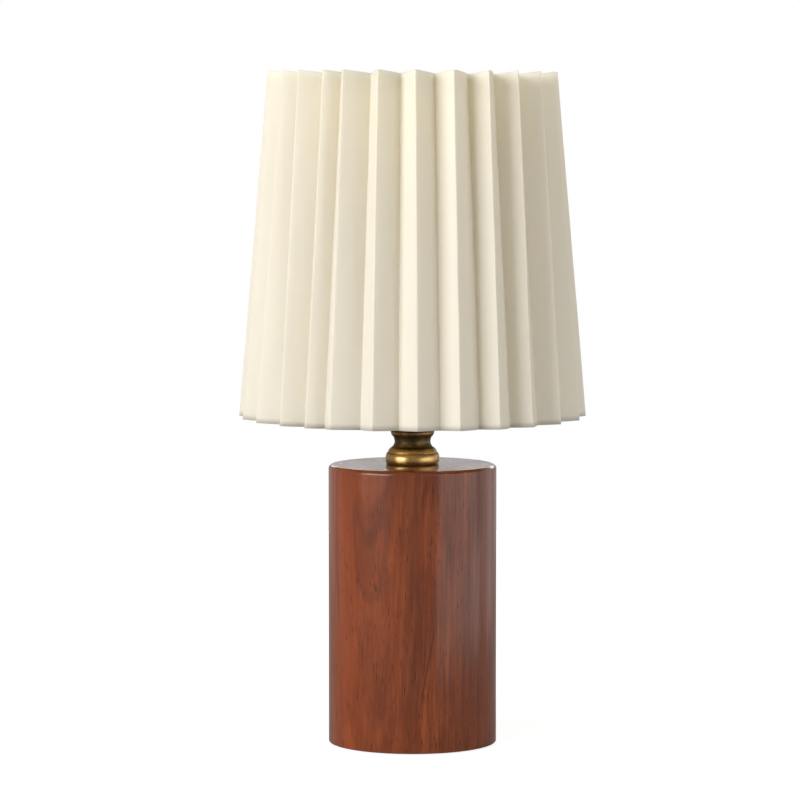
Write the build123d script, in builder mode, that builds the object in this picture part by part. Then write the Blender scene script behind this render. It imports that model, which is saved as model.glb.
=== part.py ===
from build123d import *

import os
from math import cos, hypot, radians, sin

# Table lamp: a turned walnut base, a brass neck and a pleated shade round an led bulb.
# Millimetres, +Z up. The origin is the centre of the base's underside, and -Y is the front.

os.makedirs("parts", exist_ok=True)

# Gaps between pieces, and how far a cutter runs past the face that it opens
slip_gap = 0.3
seat_gap = 0.2
thread_gap = 0.1
overrun = 1.0

# Wooden base
base_radius = 48.4
base_height = 161.3
base_edge_round = 2.4
base_foot_chamfer = 0.4
recess_space = 10.0
recess_depth = 26.0
pad_margin = 3.5
pad_thickness = 2.0
pad_proud = 0.5

# Threaded stem that clamps the neck and the lampholder to the base
stem_radius = 4.95
stem_bore_radius = 3.75
stem_end = 2.0
washer_radius = 12.0
washer_thickness = 1.6
lock_washer_radius = 8.5
lock_washer_thickness = 1.4
lock_washer_split = 1.5
nut_across_flats = 14.0
nut_height = 5.0

# Cord outlet at the back of the base
cord_height = 14.0
cord_bore_radius = 3.4
grommet_radius = 4.6
grommet_length = 12.0
grommet_flange_radius = 7.0
grommet_flange_thickness = 2.6
grommet_flange_round = 1.0
grommet_seat_depth = 2.0

# Brass neck, from the wood upwards
neck_foot_radius = 15.6
neck_foot_round = 0.8
neck_foot_height = 6.6
neck_step = 1.3
neck_shoulder_height = 3.2
neck_shoulder_bulge = 0.5
neck_cove_radius = 12.2
neck_cove_height = 3.2
neck_cove_dip = 0.4
neck_waist_radius = 10.3
neck_throat_radius = 11.1
neck_throat_height = 3.2
neck_throat_dip = 0.15
neck_bead_step = 0.25
neck_bead_radius = 12.6
neck_bead_bulge = 0.3
neck_bead_height = 2.9
neck_flare_height = 1.3
neck_flare_dip = 0.1
neck_lip_radius = 14.7
neck_lip_round = 0.6
neck_lip_height = 3.4

# Lampholder
holder_space = 2.9
holder_wall = 1.2
cap_collar_radius = 8.0
cap_collar_height = 5.0
cap_dome_height = 7.0
cap_rim_height = 2.0
cap_spigot_height = 4.0
lock_screw_radius = 1.5
lock_screw_slot = 0.6
sleeve_wall = 2.0
sleeve_thread_depth = 0.8
sleeve_thread_pitch = 2.5
sleeve_mouth_gap = 0.9
seat_width = 4.4
seat_height = 7.0
seat_thickness = 1.8
core_disc_height = 5.0
core_boss_gap = 0.9
core_boss_height = 5.0
shell_wall = 0.4
contact_width = 5.0
contact_thickness = 0.4
contact_reach = 9.0
contact_rise = 3.7
terminal_offset = 8.0
terminal_length = 5.0
terminal_width = 6.0
terminal_height = 8.0
terminal_screw_radius = 1.5
terminal_head_radius = 2.6
terminal_head_height = 2.0

# Led bulb
bulb_tip_radius = 4.8
bulb_tip_height = 1.2
bulb_insulator_radius = 6.6
bulb_insulator_height = 4.2
bulb_cap_radius = 13.0
bulb_thread_depth = 1.0
bulb_thread_pitch = 3.63
bulb_thread_turns = 5
bulb_cap_lead_in = 1.6
bulb_cap_wall = 0.4
bulb_neck_radius = 13.6
bulb_neck_insert = 12.0
bulb_stand = 4.8
bulb_body_height = 34.0
bulb_body_radius = 27.5
bulb_body_wall = 1.6
bulb_board_rim = 4.0
bulb_board_ledge = 2.0
bulb_board_thickness = 1.5
led_count = 10
led_circle_radius = 17.0
led_length = 3.5
led_width = 2.8
led_height = 0.8
driver_height = 34.0
driver_thickness = 1.6
driver_coil_radius = 4.0
driver_coil_height = 9.0
bulb_globe_radius = 30.0
bulb_globe_rise = 19.0
bulb_globe_wall = 1.2

# Pleated shade and its wire frame
shade_gap = 28.1
shade_height = 197.6
shade_bottom_radius = 100.0
shade_top_radius = 83.3
shade_wall = 0.8
pleat_bottom_depth = 11.5
pleat_top_depth = 14.0
pleat_top_dip = 2.2
pleat_bottom_dip = 0.5
ring_wire_radius = 1.6
ring_inset = 3.0
fitter_plate_thickness = 1.6
fitter_rim_width = 2.5
fitter_rim_height = 3.6
fitter_flat_width = 7.0
spoke_radius = 1.3
spoke_count = 3
shade_ring_play = 0.9
shade_ring_height = 9.0
shade_ring_flute_radius = 1.6
shade_ring_flutes = 24

# Each pleat's width against an even one, starting at the left and going round by the front
pleat_width_shares = (
    [0.97, 0.97, 0.89, 0.86, 0.64, 0.99, 1.01, 0.99, 0.99, 0.96, 1.03, 1.08, 1.12]
    + [1.03, 1.05, 1.02, 1.06, 1.04, 1.01, 1.07, 1.03, 1.05, 1.02, 1.06, 1.06]
)
# Where each pleat's inner fold lies between its outer folds: past the middle on the right
pleat_inner_shares = (
    [0.50, 0.50, 0.50, 0.50, 0.50, 0.58, 0.55, 0.60, 0.70, 0.68, 0.66, 0.66, 0.62]
    + [0.50, 0.50, 0.50, 0.50, 0.50, 0.50, 0.50, 0.50, 0.50, 0.50, 0.50, 0.50]
)
pleat_narrow = 4
pleat_narrow_share = 0.70

# Levels worked out from the sizes above, from the floor upwards
wood_bottom = pad_proud
recess_top = wood_bottom + recess_depth
cord_level = wood_bottom + cord_height
washer_level = recess_top - washer_thickness
lock_washer_level = washer_level - lock_washer_thickness
nut_level = lock_washer_level - nut_height
stem_bottom = nut_level - stem_end
neck_shoulder_level = base_height + neck_foot_height
neck_cove_level = neck_shoulder_level + neck_shoulder_height
neck_waist_level = neck_cove_level + neck_cove_height
neck_bead_level = neck_waist_level + neck_throat_height
neck_flare_level = neck_bead_level + neck_bead_height
neck_lip_level = neck_flare_level + neck_flare_height
cap_level = neck_lip_level + neck_lip_height
dome_level = cap_level + cap_collar_height
rim_level = dome_level + cap_dome_height
sleeve_level = rim_level + cap_rim_height
stem_top = dome_level + stem_end
core_level = sleeve_level + cap_spigot_height
shell_level = core_level + core_disc_height
boss_level = shell_level + core_boss_height
seat_level = sleeve_level + seat_height + seat_thickness
bulb_level = boss_level + contact_rise + slip_gap
insulator_level = bulb_level + bulb_tip_height
bulb_cap_level = insulator_level + bulb_insulator_height
bulb_thread_level = bulb_cap_level + bulb_cap_lead_in
bulb_body_level = bulb_thread_level + bulb_thread_turns * bulb_thread_pitch + bulb_cap_lead_in
sleeve_top = bulb_body_level - bulb_stand
board_level = bulb_body_level + bulb_body_height
globe_level = board_level + bulb_board_thickness
shade_bottom = base_height + shade_gap
shade_top = shade_bottom + shade_height
fitter_level = seat_level + seat_gap
shade_ring_level = fitter_level + fitter_plate_thickness + seat_gap

# Radii that follow from a neighbour
pad_radius = base_radius - pad_margin
recess_radius = washer_radius + recess_space
stem_hole_radius = stem_radius + slip_gap
neck_shoulder_radius = neck_foot_radius - neck_step
shell_crest_radius = bulb_cap_radius + slip_gap
shell_root_radius = shell_crest_radius + bulb_thread_depth
core_boss_radius = shell_crest_radius - core_boss_gap
sleeve_mouth_radius = shell_root_radius + shell_wall + sleeve_mouth_gap
sleeve_bore_radius = shell_root_radius + shell_wall + holder_space
holder_radius = sleeve_bore_radius + sleeve_wall
spigot_radius = sleeve_bore_radius - thread_gap
seat_radius = holder_radius + seat_width
bulb_board_radius = bulb_body_radius - bulb_board_rim
fitter_hole_radius = holder_radius + slip_gap
fitter_flat_radius = fitter_hole_radius + fitter_flat_width
fitter_radius = fitter_flat_radius + fitter_rim_width
shade_ring_radius = fitter_flat_radius - shade_ring_play


def polar(radius, angle):
    return (radius * cos(radians(angle)), radius * sin(radians(angle)))


# Outline points of a thread's rings, from one level up to another
def thread_points(level, crest, root, pitch, turns):
    points = []
    for turn in range(turns):
        points.append((root, level + turn * pitch))
        points.append((crest, level + (turn + 1 / 2) * pitch))
    points.append((root, level + turns * pitch))
    return points


# Wood base: bored for the stem, recessed below, drilled for the cord at the back
cord_plane = Plane(origin=(0, 0, cord_level), x_dir=(1, 0, 0), z_dir=(0, 1, 0))
grommet_seat = base_radius - grommet_seat_depth
with BuildPart() as wood_base:
    with BuildSketch(Plane.XY.offset(wood_bottom)):
        Circle(base_radius)
    extrude(amount=base_height - wood_bottom)
    fillet(wood_base.edges().group_by(Axis.Z)[-1], base_edge_round)
    chamfer(wood_base.edges().group_by(Axis.Z)[0], base_foot_chamfer)
    with BuildSketch(Plane.XY.offset(wood_bottom)):
        Circle(pad_radius + slip_gap)
    extrude(amount=pad_thickness - pad_proud, mode=Mode.SUBTRACT)
    with BuildSketch(Plane.XY.offset(wood_bottom)):
        Circle(recess_radius)
    extrude(amount=recess_depth, mode=Mode.SUBTRACT)
    with BuildSketch(Plane.XY.offset(wood_bottom)):
        Circle(stem_hole_radius)
    extrude(amount=base_height, mode=Mode.SUBTRACT)
    with BuildSketch(cord_plane):
        Circle(grommet_radius + thread_gap)
    extrude(amount=base_radius + overrun, mode=Mode.SUBTRACT)
    with BuildSketch(cord_plane.offset(grommet_seat)):
        Circle(grommet_flange_radius + slip_gap)
    extrude(amount=grommet_seat_depth + overrun, mode=Mode.SUBTRACT)
wood_base.part.label = "wood_base"
export_step(wood_base.part, "parts/wood_base.step")

# Felt pad let into the underside
with BuildPart() as base_pad:
    with BuildSketch(Plane.XY):
        Circle(pad_radius)
    extrude(amount=pad_thickness)
base_pad.part.label = "base_pad"
export_step(base_pad.part, "parts/base_pad.step")

# Cord grommet: a flanged bush in the outlet
with BuildPart() as cord_grommet:
    with BuildSketch(cord_plane.offset(grommet_seat)):
        Circle(grommet_flange_radius)
    extrude(amount=grommet_flange_thickness)
    fillet(cord_grommet.edges().group_by(Axis.Y)[-1], grommet_flange_round)
    with BuildSketch(cord_plane.offset(grommet_seat)):
        Circle(grommet_radius)
    extrude(amount=-grommet_length)
    with BuildSketch(cord_plane.offset(grommet_seat - grommet_length)):
        Circle(cord_bore_radius)
    extrude(amount=grommet_length + grommet_flange_thickness, mode=Mode.SUBTRACT)
cord_grommet.part.label = "cord_grommet"
export_step(cord_grommet.part, "parts/cord_grommet.step")

# Threaded stem, hollow for the leads
with BuildPart() as stem_tube:
    with BuildSketch(Plane.XY.offset(stem_bottom)):
        Circle(stem_radius)
        Circle(stem_bore_radius, mode=Mode.SUBTRACT)
    extrude(amount=stem_top - stem_bottom)
    outer_rims = stem_tube.edges().filter_by(GeomType.CIRCLE).sort_by(SortBy.RADIUS)[-2:]
    chamfer(outer_rims, (stem_radius - stem_bore_radius) / 2)
stem_tube.part.label = "stem_tube"
export_step(stem_tube.part, "parts/stem_tube.step")

with BuildPart() as stem_washer:
    with BuildSketch(Plane.XY.offset(washer_level)):
        Circle(washer_radius)
        Circle(stem_hole_radius, mode=Mode.SUBTRACT)
    extrude(amount=washer_thickness)
stem_washer.part.label = "stem_washer"
export_step(stem_washer.part, "parts/stem_washer.step")

# Spring washer with its split
with BuildPart() as stem_lock_washer:
    with BuildSketch(Plane.XY.offset(lock_washer_level)):
        Circle(lock_washer_radius)
        Circle(stem_hole_radius, mode=Mode.SUBTRACT)
        with Locations((lock_washer_radius, 0)):
            Rectangle(lock_washer_radius * 2, lock_washer_split, mode=Mode.SUBTRACT)
    extrude(amount=lock_washer_thickness)
stem_lock_washer.part.label = "stem_lock_washer"
export_step(stem_lock_washer.part, "parts/stem_lock_washer.step")

with BuildPart() as stem_nut:
    with BuildSketch(Plane.XY.offset(nut_level)):
        RegularPolygon(nut_across_flats / 2, 6, major_radius=False)
        Circle(stem_radius + thread_gap, mode=Mode.SUBTRACT)
    extrude(amount=nut_height)
stem_nut.part.label = "stem_nut"
export_step(stem_nut.part, "parts/stem_nut.step")

# Brass neck: foot bead, rounded shoulder, cove, waist, bead, flare and lip
with BuildPart() as brass_neck:
    with BuildSketch(Plane.XZ):
        with BuildLine():
            foot_radius = neck_foot_radius - neck_foot_round
            lip_radius = neck_lip_radius - neck_lip_round
            foot = ThreePointArc(
                (foot_radius, base_height),
                (neck_foot_radius, base_height + neck_foot_height / 2),
                (foot_radius, neck_shoulder_level),
            )
            step = Line(foot @ 1, (neck_shoulder_radius, neck_shoulder_level))
            shoulder = SagittaArc(step @ 1, (neck_cove_radius, neck_cove_level), -neck_shoulder_bulge)
            cove = SagittaArc(shoulder @ 1, (neck_waist_radius, neck_waist_level), neck_cove_dip)
            throat = SagittaArc(cove @ 1, (neck_throat_radius, neck_bead_level), neck_throat_dip)
            ledge = Line(throat @ 1, (neck_throat_radius + neck_bead_step, neck_bead_level))
            bead = SagittaArc(ledge @ 1, (neck_bead_radius, neck_flare_level), -neck_bead_bulge)
            groove = Line(bead @ 1, (neck_bead_radius - neck_bead_step, neck_flare_level))
            flare = SagittaArc(groove @ 1, (lip_radius, neck_lip_level), neck_flare_dip)
            lip = ThreePointArc(
                flare @ 1,
                (neck_lip_radius, neck_lip_level + neck_lip_height / 2),
                (lip_radius, cap_level),
            )
            Polyline(lip @ 1, (stem_hole_radius, cap_level), (stem_hole_radius, base_height), foot @ 0)
        make_face()
    revolve(axis=Axis.Z)
brass_neck.part.label = "brass_neck"
export_step(brass_neck.part, "parts/brass_neck.step")

# Lampholder cap: threaded collar, dome, rim and the spigot that carries the sleeve
dome_inner_level = dome_level + holder_wall
spigot_top = sleeve_level + cap_spigot_height
spigot_bore_radius = spigot_radius - holder_wall
lock_level = cap_level + cap_collar_height / 2
lock_plane = Plane(origin=(0, 0, lock_level), x_dir=(1, 0, 0), z_dir=(0, 1, 0))
with BuildPart() as holder_cap:
    with BuildSketch(Plane.XZ):
        with BuildLine():
            cap_hole_radius = stem_radius + thread_gap
            outer_dome = EllipticalCenterArc(
                (cap_collar_radius, rim_level),
                holder_radius - cap_collar_radius,
                cap_dome_height,
                start_angle=270,
                arc_size=90,
            )
            inner_dome = EllipticalCenterArc(
                (cap_collar_radius, rim_level),
                spigot_bore_radius - cap_collar_radius,
                rim_level - dome_inner_level,
                start_angle=270,
                arc_size=90,
            )
            Polyline(
                inner_dome @ 0,
                (cap_hole_radius, dome_inner_level),
                (cap_hole_radius, cap_level),
                (cap_collar_radius, cap_level),
                outer_dome @ 0,
            )
            Polyline(
                outer_dome @ 1,
                (holder_radius, sleeve_level),
                (spigot_radius, sleeve_level),
                (spigot_radius, spigot_top),
                (spigot_bore_radius, spigot_top),
                inner_dome @ 1,
            )
        make_face()
    revolve(axis=Axis.Z)
    with BuildSketch(lock_plane):
        Circle(lock_screw_radius + thread_gap)
    extrude(amount=cap_collar_radius + overrun, mode=Mode.SUBTRACT)
holder_cap.part.label = "holder_cap"
export_step(holder_cap.part, "parts/holder_cap.step")

# Slotted grub screw that stops the cap turning on the stem
with BuildPart() as cap_lock_screw:
    with BuildSketch(lock_plane.offset(stem_radius + thread_gap)):
        Circle(lock_screw_radius)
    extrude(amount=cap_collar_radius - stem_radius - thread_gap)
    with BuildSketch(lock_plane.offset(cap_collar_radius - lock_screw_slot)):
        Rectangle(lock_screw_radius * 2, lock_screw_slot)
    extrude(amount=lock_screw_slot, mode=Mode.SUBTRACT)
cap_lock_screw.part.label = "cap_lock_screw"
export_step(cap_lock_screw.part, "parts/cap_lock_screw.step")

# Ceramic core on the spigot, with the boss that carries the centre contact
terminal_places = [(terminal_offset, 0), (-terminal_offset, 0)]
with BuildPart() as holder_core:
    with BuildSketch(Plane.XY.offset(core_level)):
        Circle(sleeve_bore_radius - slip_gap)
    extrude(amount=core_disc_height)
    with BuildSketch(Plane.XY.offset(shell_level)):
        Circle(core_boss_radius)
    extrude(amount=core_boss_height)
holder_core.part.label = "holder_core"
export_step(holder_core.part, "parts/holder_core.step")

# Two terminal blocks under the core
terminal_level = core_level - terminal_height
terminal_screw_level = terminal_level + terminal_height / 2
terminal_face = terminal_offset + terminal_length / 2
with BuildPart() as holder_terminals:
    with BuildSketch(Plane.XY.offset(terminal_level)):
        with Locations(*terminal_places):
            Rectangle(terminal_length, terminal_width)
    extrude(amount=terminal_height)
    with BuildSketch(Plane.YZ):
        with Locations((0, terminal_screw_level)):
            Circle(terminal_screw_radius + thread_gap)
    extrude(amount=terminal_face + overrun, both=True, mode=Mode.SUBTRACT)
holder_terminals.part.label = "holder_terminals"
export_step(holder_terminals.part, "parts/holder_terminals.step")

# Their screws, one facing each way
with BuildPart() as terminal_screws:
    for facing in (1, -1):
        with BuildSketch(Plane.YZ.offset(facing * (terminal_face - terminal_length))):
            with Locations((0, terminal_screw_level)):
                Circle(terminal_screw_radius)
        extrude(amount=facing * terminal_length)
        with BuildSketch(Plane.YZ.offset(facing * terminal_face)):
            with Locations((0, terminal_screw_level)):
                Circle(terminal_head_radius)
        extrude(amount=facing * terminal_head_height)
        with BuildSketch(Plane.YZ.offset(facing * (terminal_face + terminal_head_height / 2))):
            with Locations((0, terminal_screw_level)):
                Rectangle(terminal_head_radius * 2, terminal_head_height / 3)
        extrude(amount=facing * terminal_head_height / 2, mode=Mode.SUBTRACT)
terminal_screws.part.label = "terminal_screws"
export_step(terminal_screws.part, "parts/terminal_screws.step")

# Thin screw shell on the core: rolled thread, inside and out
with BuildPart() as holder_screw_shell:
    with BuildSketch(Plane.XZ):
        with BuildLine():
            shell_inside = thread_points(
                shell_level + bulb_cap_lead_in,
                shell_root_radius,
                shell_crest_radius,
                bulb_thread_pitch,
                bulb_thread_turns,
            )
            shell_inside = [(shell_crest_radius, shell_level)] + shell_inside
            shell_outside = [(radius + shell_wall, level) for radius, level in shell_inside]
            Polyline(*shell_inside, *reversed(shell_outside), close=True)
        make_face()
    revolve(axis=Axis.Z)
holder_screw_shell.part.label = "holder_screw_shell"
export_step(holder_screw_shell.part, "parts/holder_screw_shell.step")

# Centre contact: a leaf that rises from the boss to the bulb's tip
contact_flat = contact_width / 2
leaf_foot = boss_level + contact_thickness
leaf_top = boss_level + contact_rise
with BuildPart() as holder_centre_contact:
    with BuildSketch(Plane.XZ):
        with BuildLine():
            Polyline(
                (-contact_reach, boss_level),
                (-contact_flat * 2 + contact_thickness, boss_level),
                (-contact_flat + contact_thickness, leaf_top - contact_thickness),
                (contact_flat, leaf_top - contact_thickness),
                (contact_flat, leaf_top),
                (-contact_flat, leaf_top),
                (-contact_flat * 2, leaf_foot),
                (-contact_reach, leaf_foot),
                close=True,
            )
        make_face()
    extrude(amount=contact_width / 2, both=True)
holder_centre_contact.part.label = "holder_centre_contact"
export_step(holder_centre_contact.part, "parts/holder_centre_contact.step")

# Lampholder sleeve: shade seat, outside thread for the shade ring, turned-in mouth
sleeve_thread_level = seat_level + sleeve_thread_pitch
sleeve_turns = int((sleeve_top - sleeve_thread_level) / sleeve_thread_pitch) - 1
with BuildPart() as holder_sleeve:
    with BuildSketch(Plane.XZ):
        with BuildLine():
            Polyline(
                (sleeve_bore_radius, sleeve_level),
                (holder_radius, sleeve_level),
                (holder_radius, seat_level - seat_thickness),
                (seat_radius, seat_level - seat_thickness),
                (seat_radius, seat_level),
                (holder_radius, seat_level),
                *thread_points(
                    sleeve_thread_level,
                    holder_radius - sleeve_thread_depth,
                    holder_radius,
                    sleeve_thread_pitch,
                    sleeve_turns,
                ),
                (holder_radius, sleeve_top),
                (sleeve_mouth_radius, sleeve_top),
                (sleeve_mouth_radius, sleeve_top - holder_wall),
                (sleeve_bore_radius, sleeve_top - holder_wall),
                close=True,
            )
        make_face()
    revolve(axis=Axis.Z)
holder_sleeve.part.label = "holder_sleeve"
export_step(holder_sleeve.part, "parts/holder_sleeve.step")

# Shade ring: fluted nut that clamps the fitter down on its seat
shade_ring_round = shade_ring_flute_radius / 2
with BuildPart() as shade_ring:
    with BuildSketch(Plane.XY.offset(shade_ring_level)):
        Circle(shade_ring_radius)
    extrude(amount=shade_ring_height)
    fillet(shade_ring.edges().group_by(Axis.Z)[-1], shade_ring_round)
    with BuildSketch(Plane.XY.offset(shade_ring_level)):
        with PolarLocations(shade_ring_radius + shade_ring_flute_radius / 2, shade_ring_flutes):
            Circle(shade_ring_flute_radius)
    extrude(amount=shade_ring_height, mode=Mode.SUBTRACT)
    with BuildSketch(Plane.XY.offset(shade_ring_level)):
        Circle(fitter_hole_radius)
    extrude(amount=shade_ring_height, mode=Mode.SUBTRACT)
shade_ring.part.label = "shade_ring"
export_step(shade_ring.part, "parts/shade_ring.step")

# Fitter ring: flat plate with a rim turned down, which the spokes are welded to
fitter_rim_level = fitter_level + fitter_plate_thickness - fitter_rim_height
fitter_middle = fitter_rim_level + fitter_rim_height / 2
with BuildPart() as fitter_ring:
    with BuildSketch(Plane.XY.offset(fitter_level)):
        Circle(fitter_flat_radius)
        Circle(fitter_hole_radius, mode=Mode.SUBTRACT)
    extrude(amount=fitter_plate_thickness)
    with BuildSketch(Plane.XY.offset(fitter_rim_level)):
        Circle(fitter_radius)
        Circle(fitter_flat_radius, mode=Mode.SUBTRACT)
    extrude(amount=fitter_rim_height)
fitter_ring.part.label = "fitter_ring"
export_step(fitter_ring.part, "parts/fitter_ring.step")

# The shade's outline: sharp folds all round, each width taken from the list of shares
width_total = sum(pleat_width_shares)
pleat_turns = [360 * share / width_total for share in pleat_width_shares]
pleat_starts = [180 + sum(pleat_turns[:number]) for number in range(len(pleat_turns))]


def shade_share(level):
    return (level - shade_bottom) / shade_height


def outer_fold_radius(level):
    return shade_bottom_radius + shade_share(level) * (shade_top_radius - shade_bottom_radius)


def pleat_depth(level):
    return pleat_bottom_depth + shade_share(level) * (pleat_top_depth - pleat_bottom_depth)


def pleat_folds(level):
    folds = []
    for number, turn in enumerate(pleat_turns):
        depth = pleat_depth(level)
        if number == pleat_narrow:
            depth = depth * pleat_narrow_share
        inner_radius = outer_fold_radius(level) - depth
        inner_angle = pleat_starts[number] + turn * pleat_inner_shares[number]
        folds.append(Vector(*polar(outer_fold_radius(level), pleat_starts[number])))
        folds.append(Vector(*polar(inner_radius, inner_angle)))
    return folds


# The folds moved in by the cloth's wall, the same distance from both panels at each fold
def pleat_outline(level, wall):
    folds = pleat_folds(level)
    moved = []
    for number, fold in enumerate(folds):
        next_fold = folds[(number + 1) % len(folds)]
        inward_before = (fold - folds[number - 1]).normalized().rotate(Axis.Z, 90)
        inward_after = (next_fold - fold).normalized().rotate(Axis.Z, 90)
        reach = wall / (1 + inward_before.dot(inward_after))
        moved.append(fold + (inward_before + inward_after) * reach)
    return moved


# How far an even pleat's inner fold moves in with the wall
def fold_shift(level, wall):
    half_width = outer_fold_radius(level) * sin(radians(180 / len(pleat_turns)))
    return wall * hypot(half_width, pleat_depth(level)) / half_width


# Wire rings that lie inside the inner folds
def ring_radius(level):
    inside = outer_fold_radius(level) - pleat_depth(level) - fold_shift(level, shade_wall)
    return inside - slip_gap * 2 - ring_wire_radius


bottom_ring_level = shade_bottom + ring_inset
top_ring_level = shade_top - pleat_top_dip - ring_inset
with BuildPart() as shade_bottom_ring:
    with BuildSketch(Plane.XZ):
        with Locations((ring_radius(bottom_ring_level), bottom_ring_level)):
            Circle(ring_wire_radius)
    revolve(axis=Axis.Z)
shade_bottom_ring.part.label = "shade_bottom_ring"
export_step(shade_bottom_ring.part, "parts/shade_bottom_ring.step")

with BuildPart() as shade_top_ring:
    with BuildSketch(Plane.XZ):
        with Locations((ring_radius(top_ring_level), top_ring_level)):
            Circle(ring_wire_radius)
    revolve(axis=Axis.Z)
shade_top_ring.part.label = "shade_top_ring"
export_step(shade_top_ring.part, "parts/shade_top_ring.step")

# Spokes from the fitter down to the bottom ring, coped at both ends
spoke_start = fitter_flat_radius + fitter_rim_width / 2
spoke_run = ring_radius(bottom_ring_level) - spoke_start
spoke_drop = fitter_middle - bottom_ring_level
with BuildPart() as fitter_spokes:
    for number in range(spoke_count):
        spoke_angle = 90 + number * 360 / spoke_count
        start_x, start_y = polar(spoke_start, spoke_angle)
        run_x, run_y = polar(spoke_run, spoke_angle)
        spoke_plane = Plane(
            origin=(start_x, start_y, fitter_middle),
            z_dir=(run_x, run_y, -spoke_drop),
        )
        with BuildSketch(spoke_plane):
            Circle(spoke_radius)
        extrude(amount=hypot(spoke_run, spoke_drop))
    add(fitter_ring.part, mode=Mode.SUBTRACT)
    add(shade_bottom_ring.part, mode=Mode.SUBTRACT)
fitter_spokes.part.label = "fitter_spokes"
export_step(fitter_spokes.part, "parts/fitter_spokes.step")

# Pleated cloth: the folds run straight from rim to rim, and both rims dip at the inner folds
with BuildPart() as pleated_shade:
    for level in (shade_bottom - pleat_bottom_depth, shade_top + pleat_top_depth):
        with BuildSketch(Plane.XY.offset(level)):
            with BuildLine():
                Polyline(*pleat_outline(level, 0), close=True)
            make_face()
    loft(ruled=True)
    for level in (shade_bottom - pleat_bottom_depth, shade_top + pleat_top_depth):
        with BuildSketch(Plane.XY.offset(level)):
            with BuildLine():
                Polyline(*pleat_outline(level, shade_wall), close=True)
            make_face()
    loft(ruled=True, mode=Mode.SUBTRACT)
    with BuildSketch(Plane.XZ):
        with BuildLine():
            top_slope = pleat_top_dip / pleat_top_depth
            bottom_slope = pleat_bottom_dip / pleat_bottom_depth
            envelope_radius = shade_bottom_radius + shade_top_radius
            Polyline(
                (0, shade_bottom - bottom_slope * shade_bottom_radius),
                (envelope_radius, shade_bottom + bottom_slope * shade_top_radius),
                (envelope_radius, shade_top + top_slope * shade_bottom_radius),
                (0, shade_top - top_slope * shade_top_radius),
                close=True,
            )
        make_face()
    revolve(axis=Axis.Z, mode=Mode.INTERSECT)
pleated_shade.part.label = "pleated_shade"
export_step(pleated_shade.part, "parts/pleated_shade.step")

# Bulb's tip contact and the glass insulator round it
with BuildPart() as bulb_contact:
    with BuildSketch(Plane.XY.offset(bulb_level)):
        Circle(bulb_tip_radius)
    extrude(amount=bulb_tip_height)
    fillet(bulb_contact.edges().group_by(Axis.Z)[0], bulb_tip_height / 2)
bulb_contact.part.label = "bulb_contact"
export_step(bulb_contact.part, "parts/bulb_contact.step")

with BuildPart() as bulb_cap_insulator:
    with BuildSketch(Plane.XZ):
        with BuildLine():
            Polyline(
                (0, insulator_level),
                (bulb_insulator_radius, insulator_level),
                (bulb_cap_radius - bulb_thread_depth, bulb_cap_level),
                (0, bulb_cap_level),
                close=True,
            )
        make_face()
    revolve(axis=Axis.Z)
bulb_cap_insulator.part.label = "bulb_cap_insulator"
export_step(bulb_cap_insulator.part, "parts/bulb_cap_insulator.step")

# Bulb's screw cap: thin metal with a rolled thread
bulb_root_radius = bulb_cap_radius - bulb_thread_depth
with BuildPart() as bulb_cap:
    with BuildSketch(Plane.XZ):
        with BuildLine():
            cap_outside = thread_points(
                bulb_thread_level,
                bulb_cap_radius,
                bulb_root_radius,
                bulb_thread_pitch,
                bulb_thread_turns,
            )
            cap_outside = (
                [(bulb_root_radius, bulb_cap_level)]
                + cap_outside
                + [(bulb_root_radius, bulb_body_level)]
            )
            cap_inside = [(radius - bulb_cap_wall, level) for radius, level in cap_outside]
            Polyline(*cap_outside, *reversed(cap_inside), close=True)
        make_face()
    revolve(axis=Axis.Z)
bulb_cap.part.label = "bulb_cap"
export_step(bulb_cap.part, "parts/bulb_cap.step")

# Bulb's body: a plastic-clad heat sink that flares from the cap to the globe
insert_radius = bulb_root_radius - bulb_cap_wall - thread_gap
insert_level = bulb_body_level - bulb_neck_insert
body_flare_dip = bulb_body_height / 10
with BuildPart() as bulb_body:
    with BuildSketch(Plane.XZ):
        with BuildLine():
            outside = SagittaArc(
                (bulb_neck_radius, bulb_body_level),
                (bulb_body_radius, board_level),
                body_flare_dip,
            )
            inside = SagittaArc(
                (insert_radius - bulb_body_wall, bulb_body_level),
                (bulb_board_radius - bulb_board_ledge, board_level),
                body_flare_dip,
            )
            Polyline(
                inside @ 0,
                (insert_radius - bulb_body_wall, insert_level),
                (insert_radius, insert_level),
                (insert_radius, bulb_body_level),
                outside @ 0,
            )
            Polyline(
                outside @ 1,
                (bulb_body_radius, globe_level),
                (bulb_board_radius + slip_gap, globe_level),
                (bulb_board_radius + slip_gap, board_level),
                inside @ 1,
            )
        make_face()
    revolve(axis=Axis.Z)
bulb_body.part.label = "bulb_body"
export_step(bulb_body.part, "parts/bulb_body.step")

# Led board with its chips in a circle
led_level = board_level + bulb_board_thickness
with BuildPart() as bulb_led_board:
    with BuildSketch(Plane.XY.offset(board_level)):
        Circle(bulb_board_radius)
    extrude(amount=bulb_board_thickness)
bulb_led_board.part.label = "bulb_led_board"
export_step(bulb_led_board.part, "parts/bulb_led_board.step")

with BuildPart() as bulb_leds:
    with BuildSketch(Plane.XY.offset(led_level)):
        with PolarLocations(led_circle_radius, led_count):
            Rectangle(led_length, led_width)
    extrude(amount=led_height)
bulb_leds.part.label = "bulb_leds"
export_step(bulb_leds.part, "parts/bulb_leds.step")

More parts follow.
